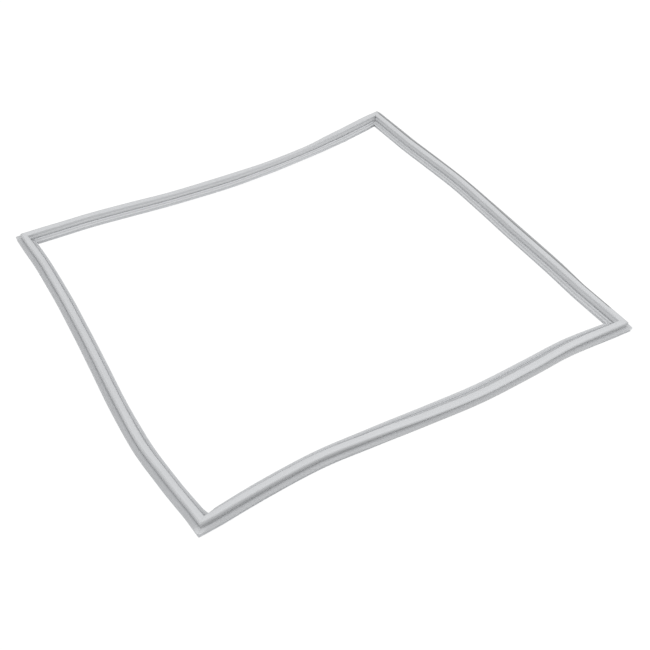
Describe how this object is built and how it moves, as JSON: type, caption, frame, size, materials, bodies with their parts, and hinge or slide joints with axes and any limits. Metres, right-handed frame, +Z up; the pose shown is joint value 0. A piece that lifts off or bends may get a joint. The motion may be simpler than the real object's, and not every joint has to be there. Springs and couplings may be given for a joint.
{
  "type": "refrigerator door gasket",
  "caption": "Soft push-in door seal: a mitred and welded PVC ring with a magnet pocket, bellows neck, cover lips and barbed rib, lying slightly wavy.",
  "frame": {"origin": "on the ground, below the middle of the ring's box", "axes": "+Z up out of the sealing face, +X along the front and back sides, +Y from the front side to the back side"},
  "size_m": [0.6426, 0.6226, 0.0183],
  "materials": {
    "soft_pvc": "satin, light grey plasticised PVC",
    "bonded_ferrite": "matt, dark brown flexible magnet"
  },
  "bodies": {
    "root": {"gasket_body": "soft_pvc", "magnet_strip_front": "bonded_ferrite", "magnet_strip_right": "bonded_ferrite", "magnet_strip_back": "bonded_ferrite", "magnet_strip_left": "bonded_ferrite"}
  },
  "joints": []
}
